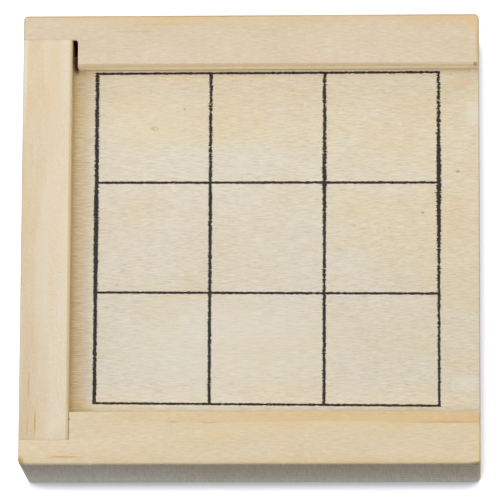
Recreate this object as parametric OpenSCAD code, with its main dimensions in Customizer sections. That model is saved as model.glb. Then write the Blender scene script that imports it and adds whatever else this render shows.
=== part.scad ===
// Pine game box. Its sliding plywood lid is the three-by-three playing board, and the
// pieces lie inside. X runs along the lid's slide, Y across it and Z up. The origin is
// the middle of the underside. All sizes are in millimetres.

/* [Box] */
// Length of the box, along the slide of the lid
box_length = 120; // [112:1:180]
// Width of the box, across the slide of the lid
box_width = 120; // [112:1:180]
// Height of the walls
box_height = 30; // [24:0.5:60]
// Radius of the four upright outer corners
corner_r = 1.3; // [0.6:0.1:3]
// Radius of the softened top edges
edge_r = 0.5; // [0.2:0.1:1]
// Radius of the softened top edges round the opening
inner_edge_r = 0.5; // [0.2:0.1:1.5]
// Radius of the softened edges at the foot of the walls
foot_r = 0.8; // [0.2:0.1:1.5]

/* [Walls] */
// Thickness of the front and rear rails
rail_t = 14; // [11:0.5:18]
// Thickness of the full-height left end board
left_board_t = 13; // [9:0.5:18]
// Thickness of the low right end board
right_board_t = 13; // [6:0.5:18]
// Depth of the corner rebates in the rails, measured from their inner faces
rebate_depth = 7.4; // [5.5:0.1:9]
// Slot left between the left end board and the rear rail's shoulder
rear_gap = 1.4; // [0.1:0.1:2.5]
// Slot left between the left end board and the front rail's shoulder
front_gap = 0.1; // [0.1:0.1:2.5]
// Radius that the cutter leaves in the inner corner of a rebate
cutter_r = 0.7; // [0.1:0.1:1]

/* [Lid] */
// Thickness of the plywood lid
lid_t = 3; // [2:0.5:5]
// Depth of the lid's face below the tops of the walls
lid_recess = 3.9; // [2.5:0.1:6]
// Depth of the grooves that the lid slides in
groove_depth = 4; // [2.5:0.5:5]
// Free space between the lid's edges and the bottom of the grooves
lid_side_gap = 0.3; // [0.1:0.05:0.6]
// Free space under the lid in its grooves
lid_under_gap = 0.1; // [0.05:0.05:0.3]
// Free space over the lid in its grooves
lid_over_gap = 0.25; // [0.1:0.05:0.5]
// Distance of the lid's open end from the ends of the rails
lid_setback = 0.1; // [0:0.1:1]
// Radius of the softened edge at the lid's open end
lid_edge_r = 0.3; // [0.1:0.1:0.9]

/* [Bottom panel] */
// Thickness of the plywood bottom panel
bottom_t = 3; // [2:0.5:6]
// Width of the seat that the walls give the bottom panel
seat_w = 5; // [3:0.5:6]
// Free space round the bottom panel's hidden edges
seat_gap = 0.15; // [0.05:0.05:0.5]

/* [Printed grid] */
// Distance from the left end board to the frame line of the grid
grid_left = 6.4; // [4:0.1:12]
// Distance from the frame line of the grid to the lid's open end
grid_right = 10.6; // [4:0.1:16]
// Distance from the rear rail to the frame line of the grid
grid_rear = 0.9; // [0.7:0.1:6]
// Distance from the front rail to the frame line of the grid
grid_front = 2.9; // [1.2:0.1:6]
// Drop of the grid's front line towards its right end
front_line_drop = 0.9; // [0:0.1:1]
// Width of the left frame line
bold_line_w = 1.05; // [0.4:0.05:2]
// Width of the other lines that run from front to rear
column_line_w = 0.8; // [0.4:0.05:2]
// Width of the lines that run from left to right
row_line_w = 0.65; // [0.3:0.05:1.5]
// Thickness of the ink on the lid
ink_t = 0.08; // [0.05:0.01:0.2]

/* [Playing pieces] */
// Width of a playing piece across its widest part
piece_w = 22; // [14:0.5:26]
// Thickness of a playing piece
piece_t = 5; // [3:0.5:7]
// Width of the two arms of a cross
arm_w = 6.5; // [3:0.5:9]
// Width of the hole in a nought
hole_w = 9.5; // [4:0.5:11]
// Radius of the softened rim of a playing piece
piece_edge_r = 0.6; // [0.1:0.1:1]
// Least space between playing pieces
piece_gap = 0.6; // [0.4:0.1:2]

/* [Hidden] */
$fn = 48;

// Colours of the bare woods and of the ink
rear_pine = [0.86, 0.79, 0.68];
front_pine = [0.87, 0.80, 0.67];
end_pine = [0.88, 0.82, 0.70];
plywood = [0.87, 0.82, 0.73];
piece_wood = [0.85, 0.76, 0.62];
ink = [0.24, 0.21, 0.19];

// Overrun of a cutting shape past the face that it cuts
over = 1;

// Faces of the box and of its inside
half_length = box_length / 2;
half_width = box_width / 2;
inner_left = -half_length + left_board_t;
inner_right = half_length - right_board_t;
inner_half_width = half_width - rail_t;
tongue_t = rail_t - rebate_depth;
end_board_half = half_width - tongue_t;
seat_half_width = inner_half_width + seat_w;

// Levels of the lid and of its grooves
lid_top = box_height - lid_recess;
lid_bottom = lid_top - lid_t;
groove_low = lid_bottom - lid_under_gap;
groove_h = lid_under_gap + lid_t + lid_over_gap;

// Reach of the lid into its grooves
lid_left = inner_left - groove_depth + lid_side_gap;
lid_right = half_length - lid_setback;
lid_half_width = inner_half_width + groove_depth - lid_side_gap;

// Corners of the printed frame
frame_left = inner_left + grid_left;
frame_right = lid_right - grid_right;
frame_rear = inner_half_width - grid_rear;
frame_front = -inner_half_width + grid_front;

// Grid of places on the bottom panel where the playing pieces lie
kind_count = 5;
cell_least = piece_w + piece_gap;
cell_columns = floor((inner_right - inner_left) / cell_least);
rows_that_fit = floor(2 * inner_half_width / cell_least);
cell_rows = min(rows_that_fit, ceil(2 * kind_count / cell_columns));
cell_pitch_x = (inner_right - inner_left) / cell_columns;
cell_pitch_y = 2 * inner_half_width / cell_rows;
turn_step = 37;

// Rectangle with its lower left corner at the origin. The radii of its corners go
// round from the lower left, and 0 leaves a corner square.
module eased_rect(size, radii) {
    places = [[0, 0], [size.x, 0], size, [0, size.y]];
    difference() {
        square(size);
        for (i = [0:3])
            if (radii[i] > 0)
                translate(places[i]) rotate(90 * i) corner_waste(radii[i]);
    }
}

// What a round cutter of radius r takes off a corner at the origin
module corner_waste(r) {
    difference() {
        translate([-over, -over]) square(r + over);
        translate([r, r]) circle(r);
    }
}

// Straight bar along X with the section children(0), drawn in Y and Z
module bar_along_x(x0, x1) {
    translate([x0, 0, 0]) rotate([90, 0, 90]) linear_extrude(x1 - x0) children(0);
}

// Straight bar along Y with the section children(0), drawn in X and Z
module bar_along_y(y0, y1) {
    translate([0, y1, 0]) rotate([90, 0, 0]) linear_extrude(y1 - y0) children(0);
}

// Plan of the whole box, with its four round corners
module box_plan() {
    translate([-half_length, -half_width])
        eased_rect([box_length, box_width], [corner_r, corner_r, corner_r, corner_r]);
}

// Plan of a rebate for the left end board. The cutter's round corner is never wider
// than the slot beside the board, so that the board still seats.
module rebate_plan(gap) {
    far_x = inner_left + gap;
    r = min(cutter_r, gap);
    difference() {
        translate([-half_length - over, inner_half_width - over])
            square([far_x + half_length + over, rebate_depth + over]);
        translate([far_x, end_board_half]) rotate(180) corner_waste(r);
    }
}

// Long rail at the rear: plan, section and front view meet in one eased bar, which is
// then grooved for the lid and rebated for the end board and the bottom panel
module rail(gap) {
    difference() {
        intersection() {
            linear_extrude(box_height) box_plan();
            bar_along_x(-half_length, half_length)
                translate([inner_half_width, 0])
                    eased_rect([rail_t, box_height], [0, foot_r, edge_r, inner_edge_r]);
            bar_along_y(inner_half_width, half_width)
                translate([-half_length, 0])
                    eased_rect([box_length, box_height], [foot_r, foot_r, edge_r, edge_r]);
        }
        bar_along_x(-half_length - over, half_length + over)
            translate([inner_half_width - over, groove_low])
                square([groove_depth + over, groove_h]);
        bar_along_x(-half_length - over, half_length + over)
            translate([inner_half_width - over, -over])
                square([seat_w + over, bottom_t + over]);
        translate([0, 0, -over]) linear_extrude(box_height + 2 * over) rebate_plan(gap);
    }
}

module rear_rail() {
    color(rear_pine) rail(rear_gap);
}

module front_rail() {
    color(front_pine) mirror([0, 1, 0]) rail(front_gap);
}

// The left end board stands in the rails' rebates and closes the grooves. Its inner top
// edge is eased where it is free, beside the lid and in the rear slot.
module left_end_board() {
    color(end_pine)
    difference() {
        bar_along_y(-end_board_half, end_board_half)
            translate([-half_length, 0])
                eased_rect([left_board_t, box_height], [foot_r, 0, 0, edge_r]);
        bar_along_y(-inner_half_width, end_board_half + over)
            translate([inner_left, box_height]) rotate(180) corner_waste(inner_edge_r);
        bar_along_y(-half_width, half_width)
            translate([inner_left - groove_depth, groove_low])
                square([groove_depth + over, groove_h]);
        bar_along_y(-seat_half_width, seat_half_width)
            translate([inner_left - seat_w, -over])
                square([seat_w + over, bottom_t + over]);
    }
}

// The right end board stands on the bottom panel and stays below the lid
module right_end_board() {
    color(end_pine)
    bar_along_y(-inner_half_width, inner_half_width)
        translate([inner_right, bottom_t])
            eased_rect([right_board_t, groove_low - bottom_t], [0, 0, edge_r, edge_r]);
}

// The bottom panel lies flush in its seat and runs out under the right end board
module bottom_panel() {
    panel_left = inner_left - seat_w + seat_gap;
    panel_half_width = seat_half_width - seat_gap;
    color(plywood)
    translate([panel_left, -panel_half_width, 0])
        cube([half_length - panel_left, 2 * panel_half_width, bottom_t]);
}

module sliding_lid() {
    color(plywood)
    bar_along_y(-lid_half_width, lid_half_width)
        translate([lid_left, lid_bottom])
            eased_rect([lid_right - lid_left, lid_t], [0, lid_edge_r, lid_edge_r, 0]);
}

// Crossing of the printed lines: u counts columns and v counts rows, both from 0 to 3
function crossing(u, v) = [
    frame_left + (frame_right - frame_left) * u / 3,
    frame_front + (frame_rear - frame_front) * v / 3 - front_line_drop * (u / 3) * (1 - v / 3)
];

// Printed line from a to b, run on by half the width of the lines that it meets
module ink_line(a, b, w, run_on) {
    angle = atan2(b.y - a.y, b.x - a.x);
    translate([a.x, a.y, lid_top]) rotate(angle)
        translate([-run_on, -w / 2, 0]) cube([norm(b - a) + 2 * run_on, w, ink_t]);
}

module printed_grid() {
    color(ink)
    union() {
        for (u = [0:3]) {
            w = u == 0 ? bold_line_w : column_line_w;
            ink_line(crossing(u, 0), crossing(u, 3), w, row_line_w / 2);
        }
        for (v = [0:3])
            ink_line(crossing(0, v), crossing(3, v), row_line_w, column_line_w / 2);
    }
}

// Middle of the place of a playing piece, counted along the rows from the left rear
function piece_place(i) = [
    inner_left + cell_pitch_x * (i % cell_columns + 0.5),
    inner_half_width - cell_pitch_y * (floor(i / cell_columns) % cell_rows + 0.5),
    bottom_t + (piece_t + piece_gap) * floor(i / (cell_columns * cell_rows))
];

// Disc of the size of a playing piece, with softened rims and a hole if one is asked for
module eased_disc(hole) {
    wall = (piece_w - hole) / 2;
    inner_r = hole > 0 ? piece_edge_r : 0;
    rotate_extrude()
        translate([hole / 2, 0])
            eased_rect([wall, piece_t], [inner_r, piece_edge_r, piece_edge_r, inner_r]);
}

// Crosses take the even places and noughts the odd ones
module cross(i) {
    color(piece_wood)
    translate(piece_place(2 * i)) rotate(turn_step * (i + 1))
        intersection() {
            eased_disc(0);
            linear_extrude(piece_t)
                union() {
                    square([2 * piece_w, arm_w], center = true);
                    square([arm_w, 2 * piece_w], center = true);
                }
        }
}

module nought(i) {
    color(piece_wood)
    translate(piece_place(2 * i + 1)) eased_disc(hole_w);
}

rear_rail();
front_rail();
left_end_board();
right_end_board();
bottom_panel();
sliding_lid();
printed_grid();
cross(0);  // cross_1
cross(1);  // cross_2
cross(2);  // cross_3
cross(3);  // cross_4
cross(4);  // cross_5
nought(0);  // nought_1
nought(1);  // nought_2
nought(2);  // nought_3
nought(3);  // nought_4
nought(4);  // nought_5
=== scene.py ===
# %% [markdown]
# This lesson dresses a small pine box whose sliding plywood lid is a tic-tac-toe board.
# The walls, the lid and the ten playing pieces come from an engineering model, which is loaded
# here as a fixed frame. Each step then makes one finish or one piece, in metres, at the place
# that the frame gives it. Nothing is moved to fit, so the dressed box still opens and closes.

# %% Loading the frame
import math

import bmesh
import bpy
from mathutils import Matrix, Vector


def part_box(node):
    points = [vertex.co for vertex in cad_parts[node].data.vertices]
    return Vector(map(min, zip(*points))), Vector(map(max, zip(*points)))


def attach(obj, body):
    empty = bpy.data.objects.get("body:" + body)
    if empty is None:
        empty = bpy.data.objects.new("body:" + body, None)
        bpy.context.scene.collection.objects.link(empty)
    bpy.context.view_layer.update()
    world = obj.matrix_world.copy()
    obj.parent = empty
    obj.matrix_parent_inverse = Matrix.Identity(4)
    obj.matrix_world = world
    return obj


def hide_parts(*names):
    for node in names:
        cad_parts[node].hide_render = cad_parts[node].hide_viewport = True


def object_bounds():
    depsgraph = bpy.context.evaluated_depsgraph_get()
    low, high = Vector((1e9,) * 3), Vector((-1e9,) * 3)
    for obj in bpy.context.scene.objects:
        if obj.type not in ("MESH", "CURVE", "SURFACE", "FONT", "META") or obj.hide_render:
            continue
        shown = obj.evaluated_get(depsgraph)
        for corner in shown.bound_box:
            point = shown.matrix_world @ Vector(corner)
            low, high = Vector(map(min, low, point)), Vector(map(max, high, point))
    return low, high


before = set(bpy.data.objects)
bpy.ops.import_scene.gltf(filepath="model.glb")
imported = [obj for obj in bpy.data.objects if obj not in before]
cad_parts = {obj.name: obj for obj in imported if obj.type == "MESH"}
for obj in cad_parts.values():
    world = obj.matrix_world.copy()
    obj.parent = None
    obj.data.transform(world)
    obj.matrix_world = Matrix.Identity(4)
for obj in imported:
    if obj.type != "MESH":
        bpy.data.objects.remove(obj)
frame_low, frame_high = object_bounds()
MM = 0.001
size_mm = [round((high - low) / MM, 1) for low, high in zip(frame_low, frame_high)]
print("frame loaded:", len(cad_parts), "nodes, size in mm", size_mm)

# %% [markdown]
# The picture is taken almost straight down with a long lens, so the top of the box keeps its
# square shape and only a low strip of the front wall shows under it. A camera that turned with
# Blender's usual order of angles would roll as it tips. The order used here tips the camera
# towards the rear first and swings it sideways last, so each angle can be set by itself.

# %% The camera
camera_place = Vector((58 * MM, -280 * MM, 1386 * MM))
camera_tip = math.radians(11.523)
camera_swing = math.radians(2.448)
camera_roll = math.radians(0.28)
sensor_width = 36.0
focal_length = 381.9

camera_data = bpy.data.cameras.new("camera")
camera_data.sensor_width = sensor_width
camera_data.lens = focal_length
camera = bpy.data.objects.new("camera", camera_data)
camera.location = camera_place
camera.rotation_mode = "ZXY"
camera.rotation_euler = (camera_tip, camera_swing, camera_roll)
bpy.context.scene.collection.objects.link(camera)
bpy.context.scene.camera = camera
bpy.context.scene.view_settings.view_transform = "Standard"
place_in_mm = [round(x / MM) for x in camera_place]
print("camera looks from", place_in_mm, "mm with a lens of", focal_length, "mm")

# %% [markdown]
# Node trees hold every finish in this lesson, and writing them node by node is long. These small
# helpers add a node, fill its inputs with numbers or with other nodes' results, and hand back
# the result. They work in material trees and in geometry trees alike.

# %% Short ways to write node trees
def add(tree, kind, inputs=None, **settings):
    """Adds a node, sets its properties, and fills its inputs with values or links."""
    made = tree.nodes.new(kind)
    for name, value in settings.items():
        setattr(made, name, value)
    for name, value in (inputs or {}).items():
        if isinstance(value, bpy.types.NodeSocket):
            tree.links.new(value, made.inputs[name])
        else:
            made.inputs[name].default_value = value
    return made


def reckon(tree, operation, *values, clamp=False):
    """One sum on plain numbers."""
    inputs = dict(enumerate(values))
    return add(tree, "ShaderNodeMath", inputs, operation=operation, use_clamp=clamp).outputs[0]


def steer(tree, operation, *values):
    """One sum on vectors. DOT_PRODUCT and LENGTH give a number."""
    made = add(tree, "ShaderNodeVectorMath", dict(enumerate(values)), operation=operation)
    return made.outputs["Value" if operation in ("DOT_PRODUCT", "LENGTH") else "Vector"]


def apart(tree, vector):
    """The three numbers of a vector: along X, Y and Z."""
    return add(tree, "ShaderNodeSeparateXYZ", {0: vector}).outputs


def together(tree, x=0.0, y=0.0, z=0.0):
    """A vector of three numbers."""
    return add(tree, "ShaderNodeCombineXYZ", {"X": x, "Y": y, "Z": z}).outputs[0]


def stretch(tree, value, low, high, to_low=0.0, to_high=1.0):
    """Turns the range low to high into to_low to to_high, and holds it there."""
    inputs = {
        "Value": value, "From Min": low, "From Max": high, "To Min": to_low, "To Max": to_high}
    made = add(tree, "ShaderNodeMapRange", inputs, interpolation_type="SMOOTHSTEP")
    return made.outputs["Result"]


def cloud(tree, place, scales, seed, detail=2.0, rough=0.5):
    """Noise from 0 to 1 whose spots are 1 / scale long in each direction of place. Every cloud of
    a finish adds its own number to the seed, so that no two of them are alike."""
    spread = steer(tree, "MULTIPLY", place, scales)
    inputs = {"Vector": spread, "W": seed, "Scale": 1.0, "Detail": detail, "Roughness": rough}
    return add(tree, "ShaderNodeTexNoise", inputs, noise_dimensions="4D").outputs[0]


# A Mix node has sockets for each kind of value. These are the ones for colours.
mix_share = 0
mix_first = 6
mix_second = 7
mix_result = 2


def tint(tree, share, first, second, how="MIX"):
    """Blends two colours by a share from 0 to 1."""
    inputs = {mix_share: share, mix_first: first, mix_second: second}
    made = add(tree, "ShaderNodeMix", inputs, data_type="RGBA", blend_type=how)
    return made.outputs[mix_result]


def layer(tree, place, colour, hue, scales, seed, limits, most, detail=2.0, rough=0.5, how="MIX"):
    """Lays a hue over a colour where a cloud rises through its limits, by the share most."""
    starts, full = limits
    share = stretch(tree, cloud(tree, place, scales, seed, detail, rough), starts, full, 0.0, most)
    return tint(tree, share, colour, hue, how)


def shade(red, green, blue):
    """A colour as a paint chart gives it, from 0 to 255, as the light that Blender works in. The
    numbers are those of the rule by which screens turn one into the other."""
    parts = [c / 255 for c in (red, green, blue)]
    return [p / 12.92 if p <= 0.04045 else ((p + 0.055) / 1.055) ** 2.4 for p in parts] + [1.0]


def new_finish(name):
    """An empty material, its tree and its shader."""
    material = bpy.data.materials.new(name)
    material.use_nodes = True
    tree = material.node_tree
    shader = tree.nodes["Principled BSDF"]
    return material, tree, shader


print("helpers ready")

# %% [markdown]
# Pine is a stack of growth rings. In the tree they are cones, nearly cylinders, round the pith,
# and a board shows whatever its faces cut out of them: wide soft bands on the face that looks at
# the pith, fine straight lines on the face beside it, and arcs on the ends. Painting each face by
# itself never agrees at the edges. So this finish is solid: it works out how far a point of the
# board lies from the pith, and colours it by where that falls within a ring. Pale early wood
# darkens slowly to honey-coloured late wood and then stops sharply, once for each year.
# Along the grain everything is stretched: fibres, short pale and dark flecks, resin ducts. The
# upright sides were only sawn, not planed, and keep faint marks across the grain.

# %% Where a point lies in its board
def grain_place(tree, grain):
    """The point in millimetres, with the first number along the grain."""
    place = add(tree, "ShaderNodeTexCoord").outputs["Object"]
    turn = {"X": (0, 0, 0), "Y": (0, 0, -math.pi / 2)}[grain]
    inputs = {"Vector": place, "Scale": (1 / MM, 1 / MM, 1 / MM), "Rotation": turn}
    return add(tree, "ShaderNodeMapping", inputs).outputs[0]


def cut_across(tree, grain, least=0.55, most=0.85):
    """1 on the faces that cut the grain off square, 0 on the others."""
    normal = add(tree, "ShaderNodeTexCoord").outputs["Normal"]
    axis = {"X": (1, 0, 0), "Y": (0, 1, 0)}[grain]
    facing = steer(tree, "DOT_PRODUCT", normal, axis)
    return stretch(tree, reckon(tree, "ABSOLUTE", facing), least, most)


long_bends = (0.018, 0.07, 0.07)
short_bends = (0.12, 0.5, 0.5)
short_bend_share = 0.12
late_wood_starts = 0.55
late_wood_full = 0.93
growth_stops = 0.955
ring_ends = 0.995


def ring_share(tree, place, pith, lean, rings, sway, seed):
    """0 in early wood, rising to 1 in late wood at the end of each year's ring."""
    first_ring, ring_width = rings
    axis_point = steer(tree, "SUBTRACT", place, (0, pith[0], pith[1]))
    along = apart(tree, place)[0]
    leaning = together(
        tree, along,
        reckon(tree, "MULTIPLY", along, lean[0]),
        reckon(tree, "MULTIPLY", along, lean[1]))
    radius = steer(tree, "LENGTH", steer(tree, "SUBTRACT", axis_point, leaning))
    wander = reckon(tree, "SUBTRACT", cloud(tree, place, long_bends, seed, detail=1.0), 0.5)
    tremble = reckon(tree, "SUBTRACT", cloud(tree, place, short_bends, seed + 3, detail=1.0), 0.5)
    moved = reckon(tree, "MULTIPLY_ADD", wander, sway, radius)
    moved = reckon(tree, "MULTIPLY_ADD", tremble, sway * short_bend_share, moved)
    years = reckon(tree, "DIVIDE", reckon(tree, "SUBTRACT", moved, first_ring), ring_width)
    year = reckon(tree, "FRACT", years)
    rising = stretch(tree, year, late_wood_starts, late_wood_full)
    falling = stretch(tree, year, growth_stops, ring_ends, 1.0, 0.0)
    return reckon(tree, "MULTIPLY", rising, falling)


print("grain helpers ready")

# %% [markdown]
# Every real board also has marks of its own: a resin streak, a speck, an edge that the cutter
# toasted. Each is a small soft-edged shape at a place on the box, in millimetres, so it goes
# through the wood like the rings do. A streak is a long thin ball, and the painted shade of a
# deep slot is a block. Some spots are painted shade or painted light instead of marks, on narrow
# faces and down in the slot.
# Most marks lie on top of a wall or on top of the lid, so each of these has its own short way.

# %% Single marks in the wood
def spot(tree, place, middle, reach, core=0.3):
    """1 near middle, fading to 0 at reach, which has a length for each direction."""
    away = steer(tree, "DIVIDE", steer(tree, "SUBTRACT", place, middle), reach)
    return stretch(tree, steer(tree, "LENGTH", away), core, 1.0, 1.0, 0.0)


def block(tree, place, low, high):
    """1 where a point lies between two corners, 0 outside them."""
    parts = apart(tree, place)
    share = 1.0
    for part, least, most in zip(parts, low, high):
        share = reckon(tree, "MULTIPLY", share, reckon(tree, "GREATER_THAN", part, least))
        share = reckon(tree, "MULTIPLY", share, reckon(tree, "LESS_THAN", part, most))
    return share


def marked(tree, colour, spots=(), blocks=(), seed=0.0, stray=(1.2, 0.5, 0.5)):
    """Paints spots (middle, reach, colour, strength) and blocks (low, high, colour) over a colour.
    A fifth number in a spot is its core, the share of its reach that is painted in full.
    stray says how far the edge of a spot wanders each way, in millimetres."""
    place = grain_place(tree, "X")
    inputs = {"Vector": place, "W": seed, "Scale": 0.9}
    noise = add(tree, "ShaderNodeTexNoise", inputs, noise_dimensions="4D")
    wander = steer(tree, "SUBTRACT", noise.outputs["Color"], (0.5, 0.5, 0.5))
    uneven = steer(tree, "ADD", place, steer(tree, "MULTIPLY", wander, stray))
    for middle, reach, hue, strength, *core in spots:
        share = reckon(tree, "MULTIPLY", spot(tree, uneven, middle, reach, *core), strength)
        colour = tint(tree, share, colour, hue)
    for low, high, hue in blocks:
        colour = tint(tree, block(tree, place, low, high), colour, hue)
    return colour


wall_top = 30
lid_top = 26.1


def wall_mark(x, y, along_x, along_y, hue, strength, *core, deep=2):
    """A spot on top of a wall, by its middle and by how far it reaches each way."""
    return ((x, y, wall_top), (along_x, along_y, deep), hue, strength, *core)


def lid_mark(x, y, along_x, along_y, hue, strength, *core):
    """A spot on top of the lid."""
    return ((x, y, lid_top), (along_x, along_y, 1), hue, strength, *core)


print("marks ready")

# %% [markdown]
# The pine finish puts this together from the broad to the fine: the rings first, then slow
# changes of tone, the fibres with their flecks and ducts, the open pores of the cut ends, the
# single marks, and last the saw marks of the upright sides. Late wood stands up a little and
# fibres and pores lie a little lower, so the light catches the grain as well.

# %% The pine finish
relief = 0.02 * MM
wood_gloss = 0.2


def fill_wood(tree, shader, colour, fibres, roughness, rise, bump_strength):
    """Ends a finish of bare wood: its colour, a roughness that follows the fibres, its relief."""
    inputs = {"Height": rise, "Strength": bump_strength, "Distance": relief}
    bump = add(tree, "ShaderNodeBump", inputs)
    tree.links.new(colour, shader.inputs["Base Color"])
    tree.links.new(stretch(tree, fibres, 0.0, 1.0, *roughness), shader.inputs["Roughness"])
    tree.links.new(bump.outputs[0], shader.inputs["Normal"])
    shader.inputs["Specular IOR Level"].default_value = wood_gloss


peach = shade(252, 243, 232)
straw = shade(253, 251, 240)
fibre_shade = shade(240, 236, 229)
pale_fleck = shade(236, 226, 208)
resin_duct = shade(186, 150, 108)
cut_end = shade(226, 202, 150)
cut_pore = shade(200, 168, 114)
cut_ring = shade(180, 134, 80)
outer_side = 59.0
rings_appear = (0.3, 0.6)
ring_on_end = 0.6
end_shows = 0.85
late_wood_stands = 0.6
fibre_lies = -0.8
pore_lies = -2.0


def outside_upright(tree, parts):
    """1 on the upright outer sides of the box, 0 on top of it and inside it. outer_side is how
    far from the middle of the box, in millimetres, a point has to lie."""
    normal = add(tree, "ShaderNodeTexCoord").outputs["Normal"]
    facing_up = reckon(tree, "ABSOLUTE", apart(tree, normal)[2])
    upright = stretch(tree, facing_up, 0.3, 0.7, 1.0, 0.0)
    first = reckon(tree, "ABSOLUTE", parts[0])
    second = reckon(tree, "ABSOLUTE", parts[1])
    outside = reckon(tree, "GREATER_THAN", reckon(tree, "MAXIMUM", first, second), outer_side)
    return reckon(tree, "MULTIPLY", upright, outside)


def pine(name, grain, pith, rings, sway, early, late, seed, lean=(0.0, 0.0), bias=0.0,
         fibre=(0.42, 2.6), vigour=0.85, warm_side=None, spots=(), blocks=()):
    """Planed, unvarnished pine. pith is across and above the board's axis, in millimetres, and
    lean is how far it leans each way along the board. rings holds the radius of the first ring
    and the width of each, and sway how far they bend. bias makes one end of the board's rings
    stronger. fibre says how short the fibres look along and across the grain, and vigour how
    much they show. warm_side is where a warmer tone starts, where it is full, and its colour."""
    material, tree, shader = new_finish(name)
    place = grain_place(tree, grain)
    parts = apart(tree, place)
    late_wood = ring_share(tree, place, pith, lean, rings, sway, seed)
    patchy = cloud(tree, place, (0.02, 0.1, 0.1), seed + 7)
    strength = reckon(tree, "MULTIPLY_ADD", parts[0], bias, patchy)
    late_share = reckon(tree, "MULTIPLY", late_wood, stretch(tree, strength, *rings_appear))
    colour = tint(tree, late_share, early, late)

    if warm_side:
        start, end, hue = warm_side
        most_wander = 9.0
        wander = reckon(tree, "SUBTRACT", cloud(tree, place, (0.03, 0.1, 0.1), seed + 31), 0.5)
        across = reckon(tree, "MULTIPLY_ADD", wander, most_wander, parts[1])
        blotches = cloud(tree, place, (0.09, 0.5, 0.5), seed + 37, detail=3.0, rough=0.6)
        uneven = stretch(tree, blotches, 0.3, 0.7, 0.35, 1.0)
        share = reckon(tree, "MULTIPLY", stretch(tree, across, start, end), uneven)
        colour = tint(tree, share, colour, hue)

    colour = layer(
        tree, place, colour, peach, scales=(0.06, 0.2, 0.2), seed=seed + 11, detail=3.0,
        limits=(0.35, 0.7), most=0.45, how="MULTIPLY")
    colour = layer(
        tree, place, colour, straw, scales=(0.08, 0.25, 0.25), seed=seed + 12, detail=3.0,
        limits=(0.4, 0.7), most=0.45, how="MULTIPLY")
    along, across = fibre
    threads = cloud(tree, place, (along, across, across), seed + 13, detail=4.0, rough=0.65)
    fibres = stretch(tree, threads, 0.3, 0.7)
    fibres_seen = reckon(tree, "MULTIPLY", fibres, vigour)
    colour = tint(tree, fibres_seen, colour, fibre_shade, "MULTIPLY")
    colour = layer(
        tree, place, colour, pale_fleck, scales=(along, 2.0, 2.0), seed=seed + 17,
        limits=(0.60, 0.70), most=0.35)
    colour = layer(
        tree, place, colour, resin_duct, scales=(along, 3.2, 3.2), seed=seed + 19, detail=1.0,
        limits=(0.68, 0.76), most=0.35)

    ends = cut_across(tree, grain)
    pores = stretch(tree, cloud(tree, place, (0.5, 6.0, 6.0), seed + 23), 0.45, 0.65)
    end_colour = tint(tree, pores, cut_end, cut_pore)
    end_colour = tint(tree, reckon(tree, "MULTIPLY", late_wood, ring_on_end), end_colour, cut_ring)
    colour = tint(tree, reckon(tree, "MULTIPLY", ends, end_shows), colour, end_colour)
    stray = {"X": (1.2, 0.5, 0.5), "Y": (0.2, 1.2, 0.5)}[grain]
    colour = marked(tree, colour, spots, blocks, seed, stray)

    not_ends = reckon(tree, "SUBTRACT", 1.0, ends)
    sides = reckon(tree, "MULTIPLY", outside_upright(tree, parts), not_ends)
    sawn = cloud(tree, place, (2.4, 0.16, 0.16), seed + 41, rough=0.6)
    lightness = stretch(tree, sawn, 0.32, 0.68, 1.08, 0.92)
    colour = tint(tree, sides, colour, lightness, "MULTIPLY")

    rise = reckon(tree, "MULTIPLY", fibres, fibre_lies)
    rise = reckon(tree, "MULTIPLY_ADD", late_share, late_wood_stands, rise)
    rise = reckon(tree, "MULTIPLY_ADD", reckon(tree, "MULTIPLY", ends, pores), pore_lies, rise)
    fill_wood(tree, shader, colour, fibres, roughness=(0.6, 0.72), rise=rise, bump_strength=0.35)
    print("finish made:", name)
    return material


print("pine finish ready")

# %% [markdown]
# The three kinds of board differ in how they were cut from the tree, so each gets its own pith,
# ring width and colours. The router left the edges round the opening and the rails' cut ends a
# toasted yellow. Both sides of the narrow, deep slot are painted shade: the rear rail's side dark
# brown, and the end board's side redder and darker below, because little light gets down there.
# A tan band of painted shade along the inner top edges of the rear rail and the left end board
# stands for their shaded inner faces. The rear rail's inner face itself is painted nearly white
# as painted light, and the right end board's outer face is painted warmer as painted warm light.

# %% The pines of this box
# Painted shade: the block paints the rear rail's faces inside the narrow, deep slot dark brown.
slot_low = (-47.2, 46.02, 3.0)
slot_high = (-45.3, 53.8, 29.2)
painted_slot_shade = shade(66, 46, 40)
painted_slot_wall_shade = shade(176, 118, 98)
toasted = shade(206, 178, 118)
olive = shade(172, 138, 66)
resin = shade(212, 162, 96)
chipped = shade(240, 226, 198)
rear_pine = pine(
    "rear_pine", "X", pith=(44, -50), rings=(78.9, 3.0), sway=0.9, bias=0.0012,
    early=shade(223, 208, 184), late=shade(214, 188, 147), seed=1.0,
    spots=[
        wall_mark(-22, 57.6, 12, 0.5, resin, 0.35),
        wall_mark(-30, 55.6, 7, 0.4, resin, 0.3),
        wall_mark(8, 58.6, 16, 0.5, resin, 0.25),
        wall_mark(-12, 59.8, 75, 3.4, shade(226, 199, 158), 0.5, deep=3),
        # Painted light: the inner face, which faces the front and gets little light, is painted
        # nearly white.
        ((0, 45.2, 27.5), (200, 1.6, 6.0), shade(255, 236, 199), 1.0),
        # Painted shade: a tan band on the rounded inner top edge stands for the shaded inner face,
        # lighter at the right end.
        ((0, 46.2, 30.1), (400, 0.8, 0.6), shade(201, 179, 143), 1.0, 0.7),
        ((62, 46.2, 30.1), (28, 0.8, 0.6), shade(215, 191, 153), 0.9, 0.4),
        wall_mark(60, 52, 1.4, 9, toasted, 0.6, deep=3),
        wall_mark(50, 59.2, 16, 1.8, shade(226, 194, 146), 0.5, deep=3),
        wall_mark(59.4, 57.6, 5, 3.4, shade(227, 194, 144), 0.55, deep=3),
        ((59.0, 46.4, 29.6), (0.9, 0.8, 1.4), shade(150, 120, 76), 0.75),
    ],
    # The block is painted shade inside the slot.
    blocks=[(slot_low, slot_high, painted_slot_shade)])
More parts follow.
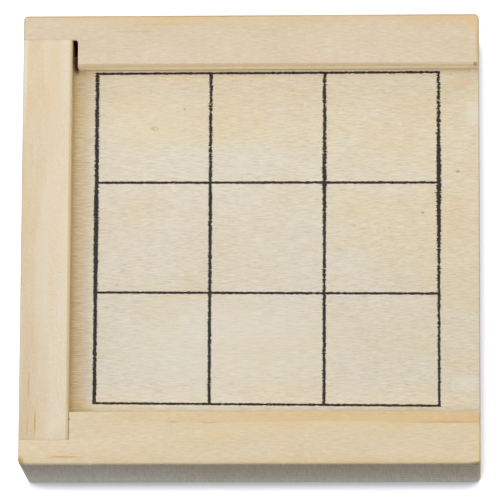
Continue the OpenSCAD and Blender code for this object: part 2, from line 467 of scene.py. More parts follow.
front_pine = pine(
    "front_pine", "X", pith=(-30, -50), rings=(78.3, 4.0), sway=0.5, bias=0.0022,
    early=shade(227, 211, 181), late=shade(223, 195, 149), seed=21.0,
    spots=[
        wall_mark(-47.8, -57.9, 6.0, 0.3, resin, 0.85, deep=1.5),
        wall_mark(-19.6, -48.7, 2.0, 0.3, resin, 0.7, deep=1.5),
        wall_mark(-10.8, -48.9, 3.0, 0.3, resin, 0.7, deep=1.5),
        wall_mark(-8, -52, 6, 1.4, shade(226, 196, 146), 0.4),
        wall_mark(20, -49, 56, 3.6, shade(224, 197, 150), 0.35, deep=3),
        wall_mark(52, -48.9, 12, 0.35, resin, 0.65),
        wall_mark(59.8, -55, 1.0, 8, shade(230, 206, 142), 0.7, deep=2.5),
        wall_mark(59.6, -59.8, 3.2, 0.8, olive, 0.7),
        wall_mark(-59.6, -59.4, 1.6, 2.4, olive, 0.7),
        ((-38, -60, 15), (36, 1.2, 18), shade(238, 226, 200), 0.4),
        wall_mark(-47, -47.8, 0.35, 1.8, shade(124, 86, 58), 0.8, deep=1.6),
        wall_mark(-47, -51.4, 0.3, 1.8, shade(160, 122, 84), 0.7, deep=1.6),
        wall_mark(-41.2, -59.9, 0.6, 0.5, chipped, 0.9, deep=1.2),
        wall_mark(9, -59.9, 0.4, 0.4, chipped, 0.8, deep=1.2),
    ])
end_pine = pine(
    "end_pine", "Y", pith=(45, -40), rings=(68.9, 3.0), sway=0.8, bias=-0.001,
    early=shade(232, 218, 196), late=shade(220, 198, 162), seed=41.0,
    fibre=(1.5, 1.8), vigour=0.68,
    warm_side=(52.5, 54.5, shade(225, 205, 172)),
    spots=[
        # Painted warm light: the outer face at the right is painted warmer against the cool light
        # that falls on it.
        ((60, 0, 12), (5, 300, 60), shade(232, 208, 166), 0.7),
        ((-46.1, 0, 27.5), (3.1, 75, 6.0), shade(235, 214, 162), 1.0),
        # Painted shade: a tan band on the inner top edge stands for the shaded inner face below
        # it.
        wall_mark(-46.9, 0, 0.98, 400, shade(212, 189, 143), 1.0, 0.65, deep=1.6),
        # Painted shade: the board's side of the slot, olive near the top and redder and darker
        # lower down.
        ((-46.8, 50.6, 20), (1.6, 9, 10), shade(226, 176, 92), 0.95),
        ((-47, 50.6, 0), (1.8, 14, 26), painted_slot_wall_shade, 1.0),
        wall_mark(-57.5, -39, 0.3, 5, shade(196, 158, 108), 0.6),
        wall_mark(-55.7, -49, 0.35, 4.6, resin, 0.8),
        wall_mark(-57.7, -50, 0.3, 4, resin, 0.4),
        wall_mark(-60, 48, 1.6, 26, shade(238, 229, 212), 0.55, deep=3),
        wall_mark(-60, -30, 1.0, 30, shade(236, 224, 204), 0.4, deep=3),
        wall_mark(-52, 40, 3.4, 30, shade(222, 200, 163), 0.5, deep=3),
        wall_mark(-54.4, -12, 2.6, 34, shade(230, 217, 194), 0.45, deep=3),
    ])

# %% [markdown]
# The lid and the bottom are plywood: a thick core between two thin peeled faces. A peeled face
# shows no rings, only fine short dashes where the knife opened the vessels. The core's grain runs
# the other way and shows only at the edges, as a darker layer between two thin glue lines. One
# finish can hold all of it, because the height of a point within the sheet says which ply it is.

# %% The plywood finish
ply_peach = shade(254, 244, 234)
ply_fibre = shade(235, 229, 220)
knife_dash = shade(190, 168, 134)
pale_dash = shade(238, 232, 218)
end_stain_and_warm_bounce = shade(232, 210, 168)
cut_face = shade(236, 228, 212)
cut_fibre = shade(216, 198, 168)
core_pale = shade(222, 200, 164)
core_dark = shade(198, 168, 126)
glue_brown = shade(120, 84, 52)
core_share = 0.27
ply_ripple = 0.12
glue_reach = 0.06
glue_shows = 0.7
ply_end_shows = 0.8
stain_reach = 7.5
dash_lies = -2.0
ply_fibre_lies = -0.6


def plies(tree, place, node, seed):
    """Two numbers: 1 in the core of a sheet, and 1 in the thin glue lines on both sides of it.
    The height of each ply comes from the box of the sheet's node."""
    low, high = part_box(node)
    tall = (high.z - low.z) / MM
    core_half = tall * core_share
    height = reckon(tree, "SUBTRACT", apart(tree, place)[2], low.z / MM)
    ripple = cloud(tree, place, (0.15, 0.15, 0.0), seed + 29)
    height = reckon(tree, "MULTIPLY_ADD", ripple, ply_ripple, height)
    from_middle = reckon(tree, "ABSOLUTE", reckon(tree, "SUBTRACT", height, tall / 2))
    from_glue = reckon(tree, "ABSOLUTE", reckon(tree, "SUBTRACT", from_middle, core_half))
    core = reckon(tree, "LESS_THAN", from_middle, core_half)
    glue = reckon(tree, "LESS_THAN", from_glue, glue_reach)
    return core, glue


def plywood(name, node, face, warm_face, seed, stain_and_bounce_end=None, spots=()):
    """Thin three-ply with its face grain along X. It is warmer towards the rear and the right,
    and from the given end along X it turns browner, fading to the right: partly a real stain and
    partly a painted warm reflection and shade from the end board beside it."""
    material, tree, shader = new_finish(name)
    place = grain_place(tree, "X")
    parts = apart(tree, place)
    core, glue = plies(tree, place, node, seed)

    warmth = cloud(tree, place, (0.03, 0.06, 0.06), seed, detail=3.0, rough=0.6)
    towards_rear = stretch(tree, parts[1], 14.0, 38.0, 0.0, 0.13)
    towards_front = stretch(tree, parts[1], -46.0, -33.0, 0.05, 0.0)
    towards_right = stretch(tree, parts[0], 10.0, 48.0, 0.0, 0.15)
    for more in (towards_rear, towards_front, towards_right):
        warmth = reckon(tree, "ADD", warmth, more)
    colour = tint(tree, stretch(tree, warmth, 0.42, 0.82), face, warm_face)
    colour = layer(
        tree, place, colour, ply_peach, scales=(0.07, 0.14, 0.14), seed=seed + 3, detail=3.0,
        limits=(0.4, 0.7), most=0.4, how="MULTIPLY", rough=0.6)
    threads = cloud(tree, place, (0.32, 4.4, 4.4), seed + 5, detail=4.0, rough=0.7)
    fibres = stretch(tree, threads, 0.3, 0.7)
    colour = tint(tree, fibres, colour, ply_fibre, "MULTIPLY")
    cuts = cloud(tree, place, (0.5, 5.2, 5.2), seed + 9, rough=0.6)
    dashes = stretch(tree, cuts, 0.57, 0.72, 0.0, 0.62)
    colour = tint(tree, dashes, colour, knife_dash)
    colour = layer(
        tree, place, colour, pale_dash, scales=(0.52, 4.6, 4.6), seed=seed + 15,
        limits=(0.60, 0.72), most=0.68)
    # Partly a real stain, partly painted warm reflection and shade from the end board beside it.
    if stain_and_bounce_end is not None:
        near = stretch(tree, parts[0], stain_and_bounce_end, stain_and_bounce_end + stain_reach, 1.0, 0.0)
        near = reckon(tree, "MULTIPLY", near, stretch(tree, fibres, 0.0, 1.0, 0.6, 1.0))
        colour = tint(tree, near, colour, end_stain_and_warm_bounce, "MULTIPLY")
    colour = marked(tree, colour, spots, seed=seed)

    ends = cut_across(tree, "X", 0.85, 0.98)
    cut_colour = tint(tree, fibres, cut_face, cut_fibre)
    colour = tint(tree, reckon(tree, "MULTIPLY", ends, ply_end_shows), colour, cut_colour)
    core_grain = cloud(tree, place, (2.2, 0.1, 2.2), seed + 33, detail=3.0)
    core_colour = tint(tree, stretch(tree, core_grain, 0.35, 0.65), core_pale, core_dark)
    colour = tint(tree, core, colour, core_colour)
    colour = tint(tree, reckon(tree, "MULTIPLY", glue, glue_shows), colour, glue_brown)

    rise = reckon(tree, "MULTIPLY", fibres, ply_fibre_lies)
    rise = reckon(tree, "MULTIPLY_ADD", dashes, dash_lies, rise)
    fill_wood(tree, shader, colour, fibres, roughness=(0.62, 0.74), rise=rise, bump_strength=0.3)
    print("finish made:", name)
    return material


speck = shade(150, 112, 70)
pale_patch = shade(230, 224, 212)
lid_ply = plywood(
    "lid_ply", "sliding_lid", face=shade(230, 222, 205), warm_face=shade(231, 217, 186),
    # The left end is browner: partly stain, partly painted warm reflection and shade.
    seed=60.0, stain_and_bounce_end=-47.5,
    spots=[
        # Painted shade and painted warm reflection: a warm darker line on the lid at the foot of
        # the rear rail.
        lid_mark(0, 46.4, 400, 1.1, shade(224, 199, 160), 0.85, 0.4),
        # Painted shade: the lid seen down in the slot is painted olive, then dark.
        lid_mark(-46.3, 47.8, 1.3, 3.4, shade(128, 98, 56), 0.9),
        lid_mark(-45.9, 48.0, 1.0, 4.2, shade(64, 46, 38), 1.0),
        lid_mark(-27, 33, 20, 13, shade(229, 211, 172), 0.3),
        lid_mark(-24, 30.2, 7, 1.8, shade(228, 208, 170), 0.45),
        lid_mark(-25.4, 30.2, 1.3, 0.8, shade(198, 162, 108), 0.6),
        lid_mark(-25.2, 30.2, 0.5, 0.35, shade(230, 212, 176), 0.8),
        lid_mark(-17.7, 35.4, 0.45, 0.35, speck, 0.5),
        lid_mark(-37.6, -17.7, 1.1, 0.4, resin, 0.5),
        lid_mark(-12.4, -30.5, 0.8, 0.6, resin, 0.45),
        lid_mark(54.3, 18.3, 1.0, 0.5, speck, 0.5),
        lid_mark(45.2, 7.4, 0.6, 0.4, speck, 0.5),
        lid_mark(55.4, 42.4, 5.0, 2.2, shade(224, 196, 160), 0.55),
        lid_mark(58.3, 45.6, 0.8, 0.6, shade(240, 226, 202), 0.6),
        lid_mark(58.5, 34, 3, 4, pale_patch, 0.45),
        lid_mark(56, -38, 5, 3, pale_patch, 0.4),
        lid_mark(-5, -28, 39, 18, shade(232, 226, 210), 0.36),
    ])
bottom_ply = plywood(
    "bottom_ply", "bottom_panel", face=shade(224, 208, 178), warm_face=shade(220, 200, 164),
    seed=80.0)

# %% [markdown]
# The grid is stamped on the bare lid with thick dark ink. It is nearly black, a little brown, and
# it sank into the wood unevenly, so its tone wavers. It dries duller than the wood round it.

# %% The ink finish
ink_deep = shade(41, 35, 35)
ink_thin = shade(68, 59, 55)
worn = shade(190, 166, 138)
ink_gloss = 0.25


def stamped_ink(name):
    """Dark ink that has sunk into bare wood, worn through in three places."""
    material, tree, shader = new_finish(name)
    place = grain_place(tree, "X")
    blots = cloud(tree, place, (0.8, 4.0, 4.0), seed=5.0, detail=3.0, rough=0.6)
    soaked = stretch(tree, blots, 0.35, 0.75)
    colour = tint(tree, soaked, ink_deep, ink_thin)
    colour = marked(tree, colour, [
        lid_mark(49.3, 37.5, 0.7, 0.3, worn, 0.9),
        lid_mark(-10.8, 36.7, 0.6, 0.3, worn, 0.8),
        lid_mark(-10.8, 34.6, 0.6, 0.25, worn, 0.6),
    ])
    tree.links.new(colour, shader.inputs["Base Color"])
    tree.links.new(stretch(tree, soaked, 0.0, 1.0, 0.7, 0.85), shader.inputs["Roughness"])
    shader.inputs["Specular IOR Level"].default_value = ink_gloss
    print("finish made:", name)
    return material


ink = stamped_ink("ink")

# %% [markdown]
# The engineering model's edges are either rounded or dead sharp. On real joinery every sharp edge
# is broken a little by sandpaper, and where two pieces meet flush, the two broken edges leave a
# fine line that shows the joint. So each wooden piece is a copy of its node, cleaned of its loose
# triangles, with a small bevel on what is still sharp. The copy then stands for the node.

# %% A wooden piece from its node
same_point = 0.002 * MM
same_plane = math.radians(0.5)
broken_from = math.radians(40)
sharp_from = math.radians(35)


def plain_mesh(holder, name):
    """The evaluated mesh of an object with its modifiers, as a new mesh."""
    graph = bpy.context.evaluated_depsgraph_get()
    mesh = bpy.data.meshes.new_from_object(holder.evaluated_get(graph))
    mesh.name = name
    return mesh


def cleaned_copy(node, name):
    """A copy of a node's mesh with its triangles joined into whole faces."""
    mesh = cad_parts[node].data.copy()
    mesh.name = name
    work = bmesh.new()
    work.from_mesh(mesh)
    bmesh.ops.remove_doubles(work, verts=work.verts, dist=same_point)
    bmesh.ops.dissolve_limit(work, angle_limit=same_plane, verts=work.verts, edges=work.edges)
    work.to_mesh(mesh)
    work.free()
    return mesh


def set_finish(piece, material):
    """Gives the whole piece one finish."""
    piece.data.materials.clear()
    piece.data.materials.append(material)
    for face in piece.data.polygons:
        face.material_index = 0


def wooden_piece(node, name, body, material, bevel=0.12, segments=2):
    """Dresses a node: its copy with broken edges, riding on the node's body. The broken edges
    are held inside the node's box, so the piece stays as large as the node."""
    piece = bpy.data.objects.new(name, cleaned_copy(node, name))
    bpy.context.scene.collection.objects.link(piece)
    eased = piece.modifiers.new("eased", "BEVEL")
    eased.width = bevel * MM
    eased.segments = segments
    eased.limit_method = "ANGLE"
    eased.angle_limit = broken_from
    eased.use_clamp_overlap = True
    mesh = plain_mesh(piece, name)
    low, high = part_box(node)
    for vertex in mesh.vertices:
        limits = zip(vertex.co, low, high)
        vertex.co = [min(max(part, least), most) for part, least, most in limits]
    piece.modifiers.clear()
    piece.data = mesh
    set_finish(piece, material)
    mesh.shade_smooth()
    mesh.set_sharp_from_angle(angle=sharp_from)
    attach(piece, body)
    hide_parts(node)
    print(name, "has", len(mesh.polygons), "faces")
    return piece


rear_wall = wooden_piece("rear_rail", "rear_wall", "box", rear_pine)
wooden_piece("front_rail", "front_wall", "box", front_pine)
wooden_piece("left_end_board", "left_wall", "box", end_pine)
wooden_piece("right_end_board", "right_wall", "box", end_pine)
wooden_piece("bottom_panel", "floor_panel", "box", bottom_ply)
wooden_piece("sliding_lid", "board", "lid", lid_ply)

# %% [markdown]
# The printed lines run over the grain, and the ink crept a little way along the fibres: the
# edges of the lines that cross the grain are ragged, and the lines that run with it stay
# smooth. Drawing that by hand is endless. A line is a narrow strip of many short steps,
# and Geometry Nodes can push both edges of each step in and out by noise. One tree
# makes all eight lines, each with its own length, width, place and seed. Fine noise pushes both
# edges out and in together and each edge by itself, and it grows along the line. Slow noise
# makes each edge drift.

# %% The tree that makes one printed line
def socket_of(tree, name):
    """The identifier of a tree's input, which is what a modifier is set by."""
    for item in tree.interface.items_tree:
        if item.item_type == "SOCKET" and item.in_out == "INPUT" and item.name == name:
            return item.identifier
    raise KeyError(name)


def new_geometry_tree(name, numbers, vectors=(), whole=()):
    """An empty geometry tree with named inputs."""
    tree = bpy.data.node_groups.new(name, "GeometryNodeTree")
    tree.is_modifier = True
    inputs = [("Geometry", "NodeSocketGeometry")]
    inputs += [(label, "NodeSocketFloat") for label in numbers]
    inputs += [(label, "NodeSocketVector") for label in vectors]
    inputs += [(label, "NodeSocketInt") for label in whole]
    inputs += [("Finish", "NodeSocketMaterial")]
    for label, kind in inputs:
        tree.interface.new_socket(label, in_out="INPUT", socket_type=kind)
    tree.interface.new_socket("Geometry", in_out="OUTPUT", socket_type="NodeSocketGeometry")
    source = tree.nodes.new("NodeGroupInput")
    result = tree.nodes.new("NodeGroupOutput")
    return tree, source, result


def moved_by(tree, geometry, shift, turn=None):
    """The geometry turned, if a turn is given, and then shifted."""
    inputs = {"Geometry": geometry, "Translation": shift}
    if turn is not None:
        inputs["Rotation"] = turn
    return add(tree, "GeometryNodeTransform", inputs).outputs[0]


def finish_tree(tree, geometry, source, result):
    """Ends a tree with real geometry and its finish."""
    real = add(tree, "GeometryNodeRealizeInstances", {0: geometry})
    inputs = {"Geometry": real.outputs[0], "Material": source.outputs["Finish"]}
    finished = add(tree, "GeometryNodeSetMaterial", inputs)
    tree.links.new(finished.outputs[0], result.inputs[0])


def run_tree(tree, name, values):
    """Runs a geometry tree once and returns its plain mesh."""
    holder = bpy.data.objects.new(name, bpy.data.meshes.new(name))
    bpy.context.scene.collection.objects.link(holder)
    made_by = holder.modifiers.new("made", "NODES")
    made_by.node_group = tree
    for label, value in values.items():
        made_by[socket_of(tree, label)] = value
    mesh = plain_mesh(holder, name)
    bpy.data.objects.remove(holder)
    return mesh


side_seed = 7.3
shared_row = 0.0
own_row = 5.0
slow_row = 9.0
slow_pace = 0.35
thinnest_half = -0.42
edge_roughness = 0.7
rougher_to_end = 0.3
same_ink = 0.001 * MM


def line_tree():
    """A strip along X from the origin, with ragged edges, turned and moved to its start. Pace is
    how many bites of the edge go into a millimetre, Ragged how deep they are and Waver how far
    the edge drifts. Swell is a soft bulge round Swell at, which counts from the line's middle."""
    numbers = [
        "Length", "Width", "Thickness", "Ragged", "Pace", "Waver", "Turn",
        "Swell at", "Swell", "Swell reach"]
    tree, source, result = new_geometry_tree("printed_line", numbers, ["Start"], ["Steps", "Seed"])
    given = source.outputs
    strip = add(tree, "GeometryNodeMeshGrid", {
        "Size X": given["Length"], "Size Y": given["Width"],
        "Vertices X": given["Steps"], "Vertices Y": 2})
    parts = apart(tree, add(tree, "GeometryNodeInputPosition").outputs[0])
    along = parts[0]
    side = reckon(tree, "SIGN", parts[1])
    along_mm = reckon(tree, "MULTIPLY", along, 1 / MM)
    own_seed = reckon(tree, "MULTIPLY_ADD", side, side_seed, given["Seed"])

    def waver(per_mm, seed, row):
        """Noise along the line, from about -0.5 to 0.5. Each row of it is another noise."""
        inputs = {
            "W": reckon(tree, "MULTIPLY", along_mm, per_mm), "Vector": together(tree, seed, row),
            "Scale": 1.0, "Detail": 1.0}
        found = add(tree, "ShaderNodeTexNoise", inputs, noise_dimensions="4D").outputs[0]
        return reckon(tree, "SUBTRACT", found, 0.5)

    both = waver(given["Pace"], given["Seed"], shared_row)
    one = waver(given["Pace"], own_seed, own_row)
    slow = waver(slow_pace, own_seed, slow_row)

    from_centre = reckon(tree, "DIVIDE", along, given["Length"])
    rougher = reckon(tree, "MULTIPLY_ADD", from_centre, rougher_to_end, edge_roughness)
    fuzz = reckon(tree, "MULTIPLY", given["Ragged"], rougher)
    push = reckon(tree, "MULTIPLY", reckon(tree, "ADD", both, one), fuzz)
    push = reckon(tree, "MULTIPLY_ADD", slow, given["Waver"], push)

    from_swell = reckon(tree, "SUBTRACT", along, given["Swell at"])
    from_swell = reckon(tree, "DIVIDE", from_swell, given["Swell reach"])
    squared = reckon(tree, "MULTIPLY", from_swell, from_swell)
    bell = reckon(tree, "EXPONENT", reckon(tree, "MULTIPLY", squared, -1.0))
    push = reckon(tree, "MULTIPLY_ADD", bell, given["Swell"], push)
    thinnest = reckon(tree, "MULTIPLY", given["Width"], thinnest_half)
    push = reckon(tree, "MAXIMUM", push, thinnest)

    offset = together(tree, y=reckon(tree, "MULTIPLY", push, side))
    ragged = add(tree, "GeometryNodeSetPosition", {"Geometry": strip.outputs[0], "Offset": offset})
    raised = add(tree, "GeometryNodeExtrudeMesh", {
        "Mesh": ragged.outputs[0], "Offset": together(tree, z=given["Thickness"]),
        "Individual": False})
    underside = add(tree, "GeometryNodeFlipFaces", {0: ragged.outputs[0]})
    whole = add(tree, "GeometryNodeJoinGeometry")
    tree.links.new(raised.outputs[0], whole.inputs[0])
    tree.links.new(underside.outputs[0], whole.inputs[0])
    closed = add(tree, "GeometryNodeMergeByDistance", {
        "Geometry": whole.outputs[0], "Distance": same_ink})

    half = reckon(tree, "MULTIPLY", given["Length"], 0.5)
    from_end = moved_by(tree, closed.outputs[0], together(tree, half))
    placed = moved_by(tree, from_end, given["Start"], together(tree, z=given["Turn"]))
    finish_tree(tree, placed, source, result)
    return tree


printed_line = line_tree()
print("tree made:", printed_line.name, "with", len(printed_line.nodes), "nodes")

# %% [markdown]
# The lines' places follow the same rule as the engineering model's: four lines each way, evenly
# spaced between the frame's corners, and the front line drops a little to the right. The corners
# are read from the box of the node, less half a line. The left line is the boldest, the right
# one thins out towards the front, and each has its swell. All four are rougher towards the rear.
# The lines across the grain lie a hair higher than the others, so that no two faces share one
# plane where they cross.

# %% Stamping the grid on the board
grid_low, grid_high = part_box("printed_grid")
board_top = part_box("sliding_lid")[1].z
front_drop = 0.9 * MM
column_widths = [0.98 * MM, 0.84 * MM, 0.82 * MM, 0.74 * MM]
row_widths = [0.62 * MM, 0.64 * MM, 0.66 * MM, 0.61 * MM]
spaces = 3
column_raggedness = [1.6 * MM, 1.5 * MM, 1.7 * MM, 1.7 * MM]
row_raggedness = 0.5 * MM
column_pace = 3.1
row_pace = 1.1
column_waver = 0.15 * MM
row_waver = 0.1 * MM
column_seed = 11
row_seed = 31
no_swell = (0.0, 0.0, 1.0)
swells = [
    (2 * MM, 0.12 * MM, 14 * MM),
    (6 * MM, 0.05 * MM, 7 * MM),
    (16 * MM, 0.12 * MM, 7 * MM),
    (16 * MM, 0.26 * MM, 15 * MM),
]
half_left_line = 0.525 * MM
half_right_line = 0.4 * MM
half_row_line = 0.325 * MM
frame_left = grid_low.x + half_left_line
frame_right = grid_high.x - half_right_line
frame_rear = grid_high.y - half_row_line
frame_front = grid_low.y + half_row_line + front_drop
ink_step = 0.07 * MM
column_depth = 0.034 * MM
row_depth = 0.026 * MM
ink_sunk = 0.01 * MM


def crossing(column, row):
    """Where two printed lines cross; rows count from the front."""
    rightward = column / spaces
    rearward = row / spaces
    across = frame_left + (frame_right - frame_left) * rightward
    back = frame_front + (frame_rear - frame_front) * rearward
    dropped = front_drop * rightward * (1 - rearward)
    return Vector((across, back - dropped, board_top - ink_sunk))


def printed_strip(start, end, width, depth, run_on, ragged, pace, waver, seed, swell=no_swell):
    """One line from start to end, run on at both ends to fill the corners."""
    direction = (end - start).normalized()
    length = (end - start).length + 2 * run_on
    swell_at, swell_most, swell_reach = swell
    values = {
        "Length": length, "Width": width, "Thickness": depth,
        "Ragged": ragged, "Pace": pace, "Waver": waver,
        "Turn": math.atan2(direction.y, direction.x), "Start": start - direction * run_on,
        "Steps": int(length / ink_step), "Seed": seed, "Finish": ink,
        "Swell at": swell_at, "Swell": swell_most, "Swell reach": swell_reach,
    }
    return run_tree(printed_line, "printed_line", values)


strips = []
for column, width in enumerate(column_widths):
    strips.append(printed_strip(
        crossing(column, 0), crossing(column, spaces), width, column_depth, row_widths[-1] / 2,
        ragged=column_raggedness[column], pace=column_pace, waver=column_waver,
        seed=column_seed + column, swell=swells[column]))
for row, width in enumerate(row_widths):
    strips.append(printed_strip(
        crossing(0, row), crossing(spaces, row), width, row_depth, column_widths[-1] / 2,
        ragged=row_raggedness, pace=row_pace, waver=row_waver, seed=row_seed + row))


def joined_mesh(name, meshes):
    """Puts several meshes into one, keeping their finish."""
    work = bmesh.new()
    for mesh in meshes:
        work.from_mesh(mesh)
    made = bpy.data.meshes.new(name)
    work.to_mesh(made)
    work.free()
    return made


grid_mesh = joined_mesh("stamped_grid", strips)
stamped_grid = bpy.data.objects.new("stamped_grid", grid_mesh)
bpy.context.scene.collection.objects.link(stamped_grid)
set_finish(stamped_grid, ink)
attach(stamped_grid, "lid")
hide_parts("printed_grid")
print("grid stamped:", len(strips), "lines,", len(grid_mesh.polygons), "faces")

# %% [markdown]
# The playing pieces lie in the box. Noughts are turned rings with softened rims, which is a shape
# with a rule: a rounded section carried round a circle. So Geometry Nodes make them, from the
# diameters that the frame gives. Crosses are cut from the same discs, and dress their nodes.

# %% The tree that makes a nought
rim_steps = 5
ring_steps = 96


def nought_tree():
    """A ring of a rounded section, lying flat with its middle at Place."""
    numbers = ["Outer", "Hole", "Thickness", "Rim"]
    tree, source, result = new_geometry_tree("turned_ring", numbers, ["Place"])
    given = source.outputs
    both_walls = reckon(tree, "SUBTRACT", given["Outer"], given["Hole"])
    wall = reckon(tree, "MULTIPLY", both_walls, 0.5)
    section = add(tree, "GeometryNodeCurvePrimitiveQuadrilateral", {
        "Width": wall, "Height": given["Thickness"]})
    softened = add(tree, "GeometryNodeFilletCurve", {
        "Curve": section.outputs[0], "Radius": given["Rim"], "Count": rim_steps,
        "Limit Radius": True}, mode="POLY")
    both_widths = reckon(tree, "ADD", given["Outer"], given["Hole"])
    middle = reckon(tree, "MULTIPLY", both_widths, 0.25)
    path = add(tree, "GeometryNodeCurvePrimitiveCircle", {
        "Resolution": ring_steps, "Radius": middle})
    ring = add(tree, "GeometryNodeCurveToMesh", {
        "Curve": path.outputs[0], "Profile Curve": softened.outputs[0]})
    smooth = add(tree, "GeometryNodeSetShadeSmooth", {"Geometry": ring.outputs[0]})
    placed = moved_by(tree, smooth.outputs[0], given["Place"])
    finish_tree(tree, placed, source, result)
    return tree


turned_ring = nought_tree()
print("tree made:", turned_ring.name, "with", len(turned_ring.nodes), "nodes")

# %% [markdown]
# The photograph shows the box closed, so the pieces inside are a guess: five honey-coloured
# crosses and five paler noughts, of wood with finer rings than the walls. Their edges are sanded
# rounder, because they are made to be picked up.

# %% The playing pieces
hole_width = 9.5 * MM
rim = 0.6 * MM
cross_bevel = 0.3
cross_bevel_steps = 3
pieces_each = 5
cross_finish = pine(
    "cross_wood", "X", pith=(0, -70), lean=(0.01, 0.02), rings=(0.0, 1.3), sway=1.6,
    early=shade(214, 178, 128), late=shade(184, 132, 78), seed=101.0)
nought_finish = pine(
    "nought_wood", "Y", pith=(10, -60), lean=(0.01, 0.02), rings=(0.0, 1.5), sway=1.6,
    early=shade(234, 216, 184), late=shade(216, 184, 138), seed=121.0)

for count in range(1, pieces_each + 1):
    wooden_piece(
        f"cross_{count}", f"cross_piece_{count}", f"cross_{count}",
        cross_finish, cross_bevel, cross_bevel_steps)
    low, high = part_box(f"nought_{count}")
    values = {
        "Outer": high.x - low.x, "Hole": hole_width, "Thickness": high.z - low.z, "Rim": rim,
        "Place": (low + high) / 2, "Finish": nought_finish,
    }
    name = f"nought_piece_{count}"
    ring = bpy.data.objects.new(name, run_tree(turned_ring, name, values))
    bpy.context.scene.collection.objects.link(ring)
    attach(ring, f"nought_{count}")
    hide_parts(f"nought_{count}")
print("playing pieces made:", pieces_each, "crosses and", pieces_each, "noughts")

# %% [markdown]
# The picture's floor is plain white with a tight shadow round the foot of the box. A white floor
# that lit the box from below would wash out its dark front wall, so the floor is two things at
# once. What the camera and reflections meet is white card that glows, with a soft painted shadow
# in front of the box and at its right, where it stands between the card and the light: the glow
# dims where the box closes in a point of the floor. What the light in the room meets is a dull
# grey with a narrow pale strip close round the box. The strip glows, and so throws light up on
# the foot of the walls, cool in front and warmer elsewhere, as the picture's front wall shows: it
# is darkest at the top and paler and cooler towards its foot.

# %% The floor
card_white = (0.755, 0.755, 0.795, 1.0)
card_glow = (0.985, 0.985, 1.0, 1.0)
under_box = (0.02, 0.02, 0.02, 1.0)
dull_warm = (0.12, 0.11, 0.1, 1.0)
dull_cool = (0.08, 0.095, 0.12, 1.0)
pale_warm = (0.6, 0.57, 0.53, 1.0)
pale_cool = (0.5, 0.62, 0.8, 1.0)
bounce_warm = (0.6, 0.56, 0.5, 1.0)
bounce_cool = (0.65, 0.86, 1.21, 1.0)
bounce_strength = 0.95
shadow_reach = 4.2 * MM
shadow_samples = 16
shadow_edge = (-1.5 * MM, 0.5 * MM)
right_share = 0.74
well_under = -1.0 * MM
fully_shut = 0.52
glow_open = 0.75
glow_shut = 0.03
turns_cool = (-6 * MM, 2 * MM)
strip_rises = (0.0, 4 * MM)
strip_fades = (3 * MM, 14 * MM)


def shown_to(tree, kinds, seen, lit):
    """Shows one shader to some kinds of rays, and another to the rest of the light."""
    rays = add(tree, "ShaderNodeLightPath").outputs
    looks = 0.0
    for kind in kinds:
        looks = reckon(tree, "ADD", looks, rays[kind], clamp=True)
    return add(tree, "ShaderNodeMixShader", {0: looks, 1: lit, 2: seen}).outputs[0]


def studio_floor():
    """White to look at, dull grey to the light, with a shadow and a pale strip round the box."""
    material = bpy.data.materials.new("studio_floor")
    material.use_nodes = True
    tree = material.node_tree
    tree.nodes.clear()
    place = add(tree, "ShaderNodeTexCoord").outputs["Object"]
    sides = apart(tree, place)
    past_front = reckon(tree, "SUBTRACT", frame_low.y, sides[1])
    past_right = reckon(tree, "SUBTRACT", sides[0], frame_high.x)
    distances = apart(tree, steer(tree, "ABSOLUTE", place))
    from_middle = reckon(tree, "MAXIMUM", distances[0], distances[1])
    from_box = reckon(tree, "SUBTRACT", from_middle, frame_high.x)

    # Painted shadow: the card's glow is dimmed where the box closes in a point, in front of it and
    # at its right.
    inputs = {"Distance": shadow_reach}
    openness = add(tree, "ShaderNodeAmbientOcclusion", inputs, samples=shadow_samples)
    closeness = reckon(tree, "SUBTRACT", 1.0, openness.outputs["AO"])
    in_front = stretch(tree, past_front, *shadow_edge)
    at_right = stretch(tree, past_right, *shadow_edge, 0.0, right_share)
    underneath = reckon(tree, "LESS_THAN", from_box, well_under)
    side_share = reckon(tree, "MAXIMUM", in_front, at_right)
    side_share = reckon(tree, "MAXIMUM", underneath, side_share)
    shut = reckon(tree, "MULTIPLY", closeness, side_share)
    glow = stretch(tree, shut, 0.0, fully_shut, glow_open, glow_shut)
    white = add(tree, "ShaderNodeBsdfDiffuse", {
        "Color": tint(tree, underneath, card_white, under_box)})
    light = add(tree, "ShaderNodeEmission", {"Color": card_glow, "Strength": glow})
    seen = add(tree, "ShaderNodeAddShader", {0: white.outputs[0], 1: light.outputs[0]})

    cool_side = stretch(tree, past_front, *turns_cool)
    strip = stretch(tree, from_box, *strip_fades, 1.0, 0.0)
    strip = reckon(tree, "MULTIPLY", strip, stretch(tree, from_box, *strip_rises))
    dull = tint(tree, cool_side, dull_warm, dull_cool)
    pale = tint(tree, cool_side, pale_warm, pale_cool)
    grey = add(tree, "ShaderNodeBsdfDiffuse", {"Color": tint(tree, strip, dull, pale)})
    # The strip glows as painted light, standing in for the light a pale floor would throw up.
    bounce = add(tree, "ShaderNodeEmission", {
        "Color": tint(tree, cool_side, bounce_warm, bounce_cool),
        "Strength": reckon(tree, "MULTIPLY", strip, bounce_strength)})
    lit = add(tree, "ShaderNodeAddShader", {0: grey.outputs[0], 1: bounce.outputs[0]})
    looking = ("Is Camera Ray", "Is Glossy Ray", "Is Transmission Ray")
    choice = shown_to(tree, looking, seen.outputs[0], lit.outputs[0])
    output = add(tree, "ShaderNodeOutputMaterial")
    tree.links.new(choice, output.inputs["Surface"])
    return material


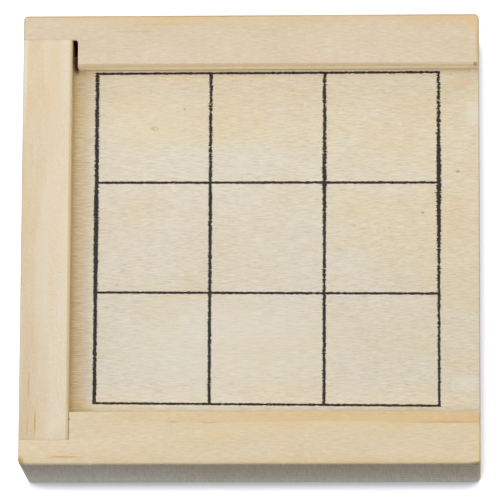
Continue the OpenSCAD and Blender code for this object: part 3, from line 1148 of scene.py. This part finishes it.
floor_reach = 3.0
floor_mesh = bpy.data.meshes.new("studio_floor")
square = ((-1, -1), (1, -1), (1, 1), (-1, 1))
corners = [(x * floor_reach, y * floor_reach, 0.0) for x, y in square]
floor_mesh.from_pydata(corners, [], [(0, 1, 2, 3)])
studio = bpy.data.objects.new("studio_floor", floor_mesh)
bpy.context.scene.collection.objects.link(studio)
floor_mesh.materials.append(studio_floor())
print("floor laid")

# %% [markdown]
# A large soft light hangs over the box. A smaller one stands low at the left, so the left wall
# shades the edge of the sunken board, as it does in the picture, and a third behind the box puts
# a soft shade at the foot of the rear rail. A long low card in front lights the rear rail's
# inner face. Its light would spoil the dark front wall, so it reaches the rear rail alone. The
# room adds a faint light, cool and dimmest towards the front, where the wall has to stay dark,
# and warmer and stronger low down round the other sides. Together they give a white card on the
# table a brightness of 1, so that every colour in this lesson renders about as it is written.

# %% The lights
def soft_light(name, place, aim, size, power, colour):
    """A rectangular lamp that points at aim and isn't seen itself."""
    data = bpy.data.lights.new(name, "AREA")
    data.shape = "RECTANGLE"
    data.size, data.size_y = size
    data.energy = power
    data.color = colour
    lamp = bpy.data.objects.new(name, data)
    lamp.location = place
    lamp.rotation_euler = (Vector(aim) - Vector(place)).to_track_quat("-Z", "Y").to_euler()
    lamp.visible_camera = False
    bpy.context.scene.collection.objects.link(lamp)
    return lamp


middle = (0, 0, 0)
low_middle = (0, 0, 0.02)
rear_rail_inside = (0, 0.046, 0.028)
nearly_white = (1.0, 0.99, 0.97)
soft_light(
    "overhead", place=(0.2, -0.05, 1.4), aim=middle, size=(2.4, 2.4), power=24.6,
    colour=(1.0, 0.985, 0.947))
soft_light(
    "left_side", place=(-1.1, 0.1, 0.65), aim=low_middle, size=(0.9, 0.7), power=4.2,
    colour=nearly_white)
soft_light(
    "rear_side", place=(0.1, 1.2, 0.5), aim=low_middle, size=(0.9, 0.6), power=4.2,
    colour=nearly_white)
front_card = soft_light(
    "front_card", place=(0.05, -1.2, 0.2), aim=rear_rail_inside, size=(1.4, 0.15), power=5.0,
    colour=(1.0, 0.985, 0.95))
reached = bpy.data.collections.new("reached_by_front_card")
reached.objects.link(rear_wall)
front_card.light_linking.receiver_collection = reached
print("lights hung")

# %% [markdown]
# A direction in the room is three numbers from -1 to 1: how far it points right, to the rear and
# up. So the second and the third say where the room's light is cool and dim, and where it is
# warm and strong. The camera sees none of this, only plain white behind the floor.

# %% The room
room_cool = (0.79, 0.98, 1.32, 1.0)
room_warm = (1.08, 0.97, 0.85, 1.0)
backdrop_white = (1.0, 1.0, 1.0, 1.0)
low_down_range = (0.15, 0.6)
side_range = (-0.35, 0.15)
front_range = (-0.75, 0.1)
level_in_front = 0.05
level_elsewhere = 0.2
level_low_down = 0.15

world = bpy.data.worlds.new("soft_room")
bpy.context.scene.world = world
world.use_nodes = True
tree = world.node_tree
tree.nodes.clear()
direction = apart(tree, add(tree, "ShaderNodeTexCoord").outputs["Generated"])
low_down = stretch(tree, direction[2], *low_down_range, 1.0, 0.0)
not_in_front = stretch(tree, direction[1], *side_range)
round_the_sides = reckon(tree, "MULTIPLY", low_down, not_in_front)
level = stretch(tree, direction[1], *front_range, level_in_front, level_elsewhere)
level = reckon(tree, "MULTIPLY_ADD", round_the_sides, level_low_down, level)
room = tint(tree, round_the_sides, room_cool, room_warm)
fill = add(tree, "ShaderNodeBackground", {"Color": room, "Strength": level})
white = add(tree, "ShaderNodeBackground", {"Color": backdrop_white, "Strength": 1.0})
looking = ("Is Camera Ray", "Is Transmission Ray")
choice = shown_to(tree, looking, white.outputs[0], fill.outputs[0])
output = add(tree, "ShaderNodeOutputWorld")
tree.links.new(choice, output.inputs["Surface"])
print("room lit")

# %% [markdown]
# Last, the lesson says that the box is dressed.

# %% The end
print("box dressed")
